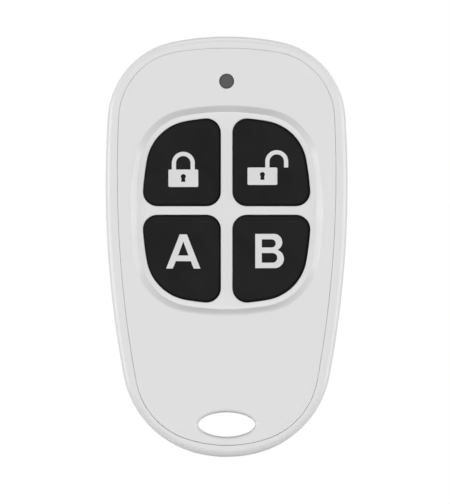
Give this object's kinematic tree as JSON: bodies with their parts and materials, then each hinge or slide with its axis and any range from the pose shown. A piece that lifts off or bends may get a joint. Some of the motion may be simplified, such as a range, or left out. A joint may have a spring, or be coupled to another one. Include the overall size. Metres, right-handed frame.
{
  "type": "alarm key fob",
  "caption": "Pocket remote for an alarm: flat rounded case, silicone keys in a bevelled recess, lamp window, key ring hole and a coin-turned battery door.",
  "frame": {"origin": "centre of the outline on the flat back face", "axes": "+Z out of the front face, +Y from the key ring end to the lamp end, +X to the right seen from the front"},
  "size_m": [0.0356, 0.062, 0.011],
  "materials": {
    "case_plastic": "fine satin",
    "key_rubber": "matte silicone",
    "silicone": "matte silicone",
    "carbon_pill": "matte",
    "smoked_lens": "gloss",
    "board": "solder mask",
    "gold_copper": "plated",
    "lamp_resin": "clear",
    "chip_resin": "moulded",
    "chip_ceramic": "ceramic",
    "steel": "plated",
    "holder_plastic": "moulded",
    "spring_brass": "plated sheet"
  },
  "bodies": {
    "housing": {"rear_shell": "case_plastic", "front_cover": "case_plastic", "led_window": "smoked_lens", "case_screws": "steel", "web_lock": "silicone", "web_unlock": "silicone", "web_a": "silicone", "web_b": "silicone", "keypad_mat": "silicone", "circuit_board": "board", "contact_pads": "gold_copper", "antenna_trace": "gold_copper", "indicator_led": "lamp_resin", "radio_chip": "chip_resin", "encoder_chip": "chip_resin", "crystal": "steel", "chip_components": "chip_ceramic", "coin_cell": "steel", "cell_holder": "holder_plastic", "contact_positive": "spring_brass", "contact_negative": "spring_brass"},
    "key_lock": {"button_lock": "key_rubber", "pill_lock": "carbon_pill"},
    "key_unlock": {"button_unlock": "key_rubber", "pill_unlock": "carbon_pill"},
    "key_a": {"button_a": "key_rubber", "pill_a": "carbon_pill"},
    "key_b": {"button_b": "key_rubber", "pill_b": "carbon_pill"},
    "door": {"battery_door": "case_plastic"}
  },
  "joints": [
    {"name": "press_lock", "type": "slide", "parent": "housing", "child": "key_lock", "axis": [0, 0, -1], "range_m": [0, 0.0008], "stiffness_N_per_m": 2000, "deforming": ["web_lock"]},
    {"name": "press_unlock", "type": "slide", "parent": "housing", "child": "key_unlock", "axis": [0, 0, -1], "range_m": [0, 0.0008], "stiffness_N_per_m": 2000, "deforming": ["web_unlock"]},
    {"name": "press_a", "type": "slide", "parent": "housing", "child": "key_a", "axis": [0, 0, -1], "range_m": [0, 0.0008], "stiffness_N_per_m": 2000, "deforming": ["web_a"]},
    {"name": "press_b", "type": "slide", "parent": "housing", "child": "key_b", "axis": [0, 0, -1], "range_m": [0, 0.0008], "stiffness_N_per_m": 2000, "deforming": ["web_b"]},
    {"name": "door_twist", "type": "hinge", "parent": "housing", "child": "door", "pos_m": [0, 0.00535, 0], "axis": [0, 0, -1], "range_deg": [0, 50]}
  ]
}
